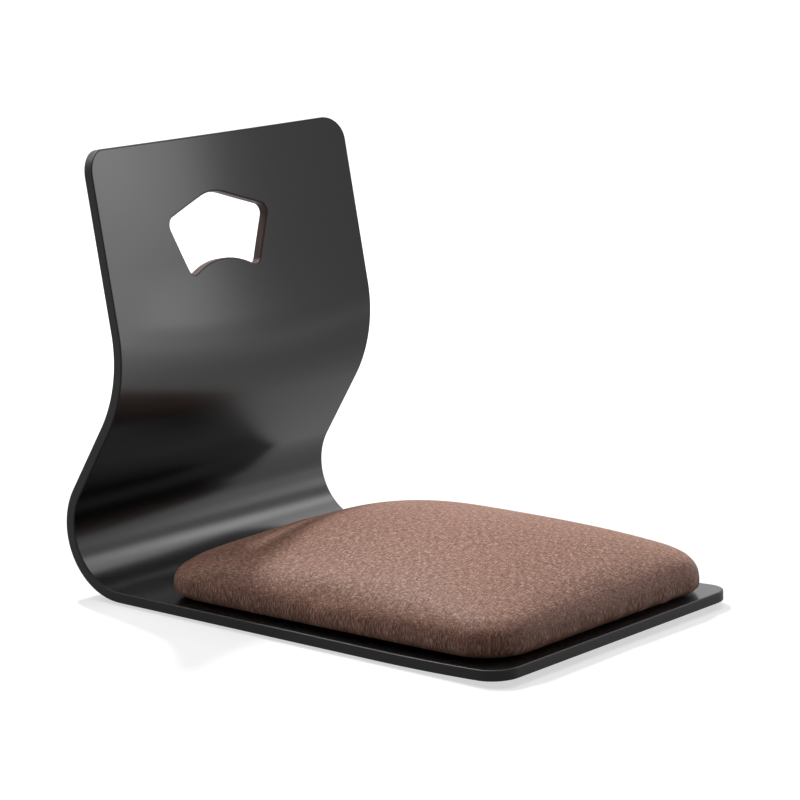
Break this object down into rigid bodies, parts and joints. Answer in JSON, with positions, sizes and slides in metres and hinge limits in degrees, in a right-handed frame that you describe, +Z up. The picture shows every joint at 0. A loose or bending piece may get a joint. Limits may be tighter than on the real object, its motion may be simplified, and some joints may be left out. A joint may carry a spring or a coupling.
{
  "type": "legless floor chair",
  "caption": "Legless floor chair: a bent plywood seat-and-back shell with a fan-shaped hand hole and an upholstered pad screwed on from below.",
  "frame": {"origin": "on the floor, below the middle of the chair's outer box", "axes": "+Z up; -Y is the way the sitter faces, so the back rises at +Y; +X across the seat"},
  "size_m": [0.4, 0.5592, 0.4633],
  "materials": {
    "black_lacquered_plywood": "satin black lacquer on moulded plywood, charcoal edges with eased arrises",
    "bare_plywood": "sanded, unfinished",
    "zinc_plated_steel": "bright zinc",
    "polyurethane_foam": "open-cell, cut",
    "polyester_wadding": "fluffy white fibre",
    "woven_brown_fabric": "plain weave of mixed brown and beige yarns, matt",
    "black_nonwoven": "thin spun-bonded sheet, matt",
    "staple_wire": "galvanised wire",
    "black_zinc_steel": "black zinc, satin",
    "grey_felt": "dense needle felt"
  },
  "bodies": {
    "root": {"shell": "black_lacquered_plywood", "seat_board": "bare_plywood", "tee_nuts": "zinc_plated_steel", "foam_core": "polyurethane_foam", "wadding": "polyester_wadding", "seat_cover": "woven_brown_fabric", "dust_cover": "black_nonwoven", "cover_staples": "staple_wire", "dust_cover_staples": "staple_wire", "pad_screws": "black_zinc_steel", "felt_glide_front_left": "grey_felt", "felt_glide_front_right": "grey_felt", "felt_glide_rear_left": "grey_felt", "felt_glide_rear_right": "grey_felt"}
  },
  "joints": []
}
